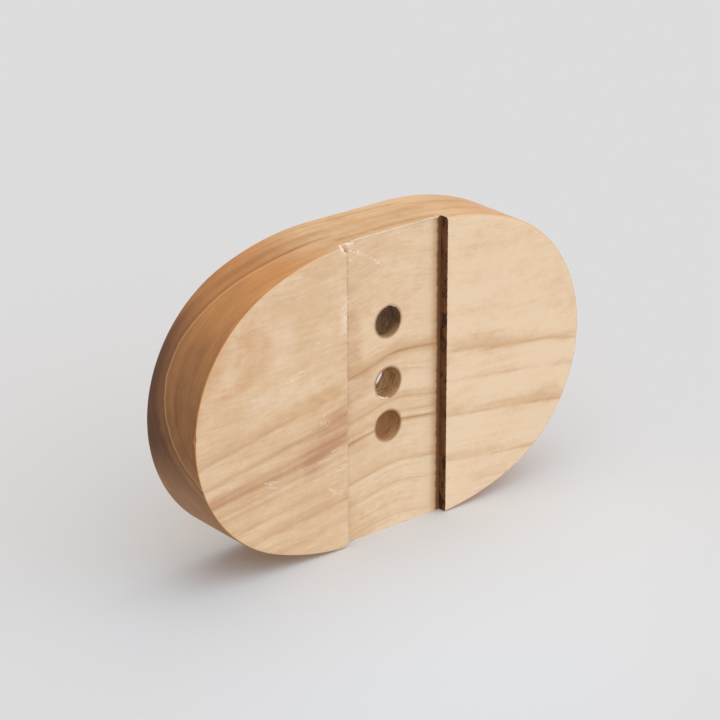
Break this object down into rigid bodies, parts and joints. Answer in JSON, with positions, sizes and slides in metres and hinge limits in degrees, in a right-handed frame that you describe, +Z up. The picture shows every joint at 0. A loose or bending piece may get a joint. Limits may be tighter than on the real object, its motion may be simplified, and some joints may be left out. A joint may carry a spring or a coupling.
{
  "type": "wooden soap dish",
  "caption": "Oval soap dish carved from a solid block of wood, with a soap bowl on top, a row of drain holes, and a drain channel across the underside between its resting pads.",
  "frame": {"origin": "middle of the dish's outline, on the plane that the underside pads rest on", "axes": "+X along the dish's length, +Y across it along the drain channel, +Z up out of the soap bowl"},
  "size_m": [0.126, 0.082, 0.02],
  "materials": {
    "oiled_wood": "oiled, satin, open grain"
  },
  "bodies": {
    "root": {"dish_body": "oiled_wood"}
  },
  "joints": []
}
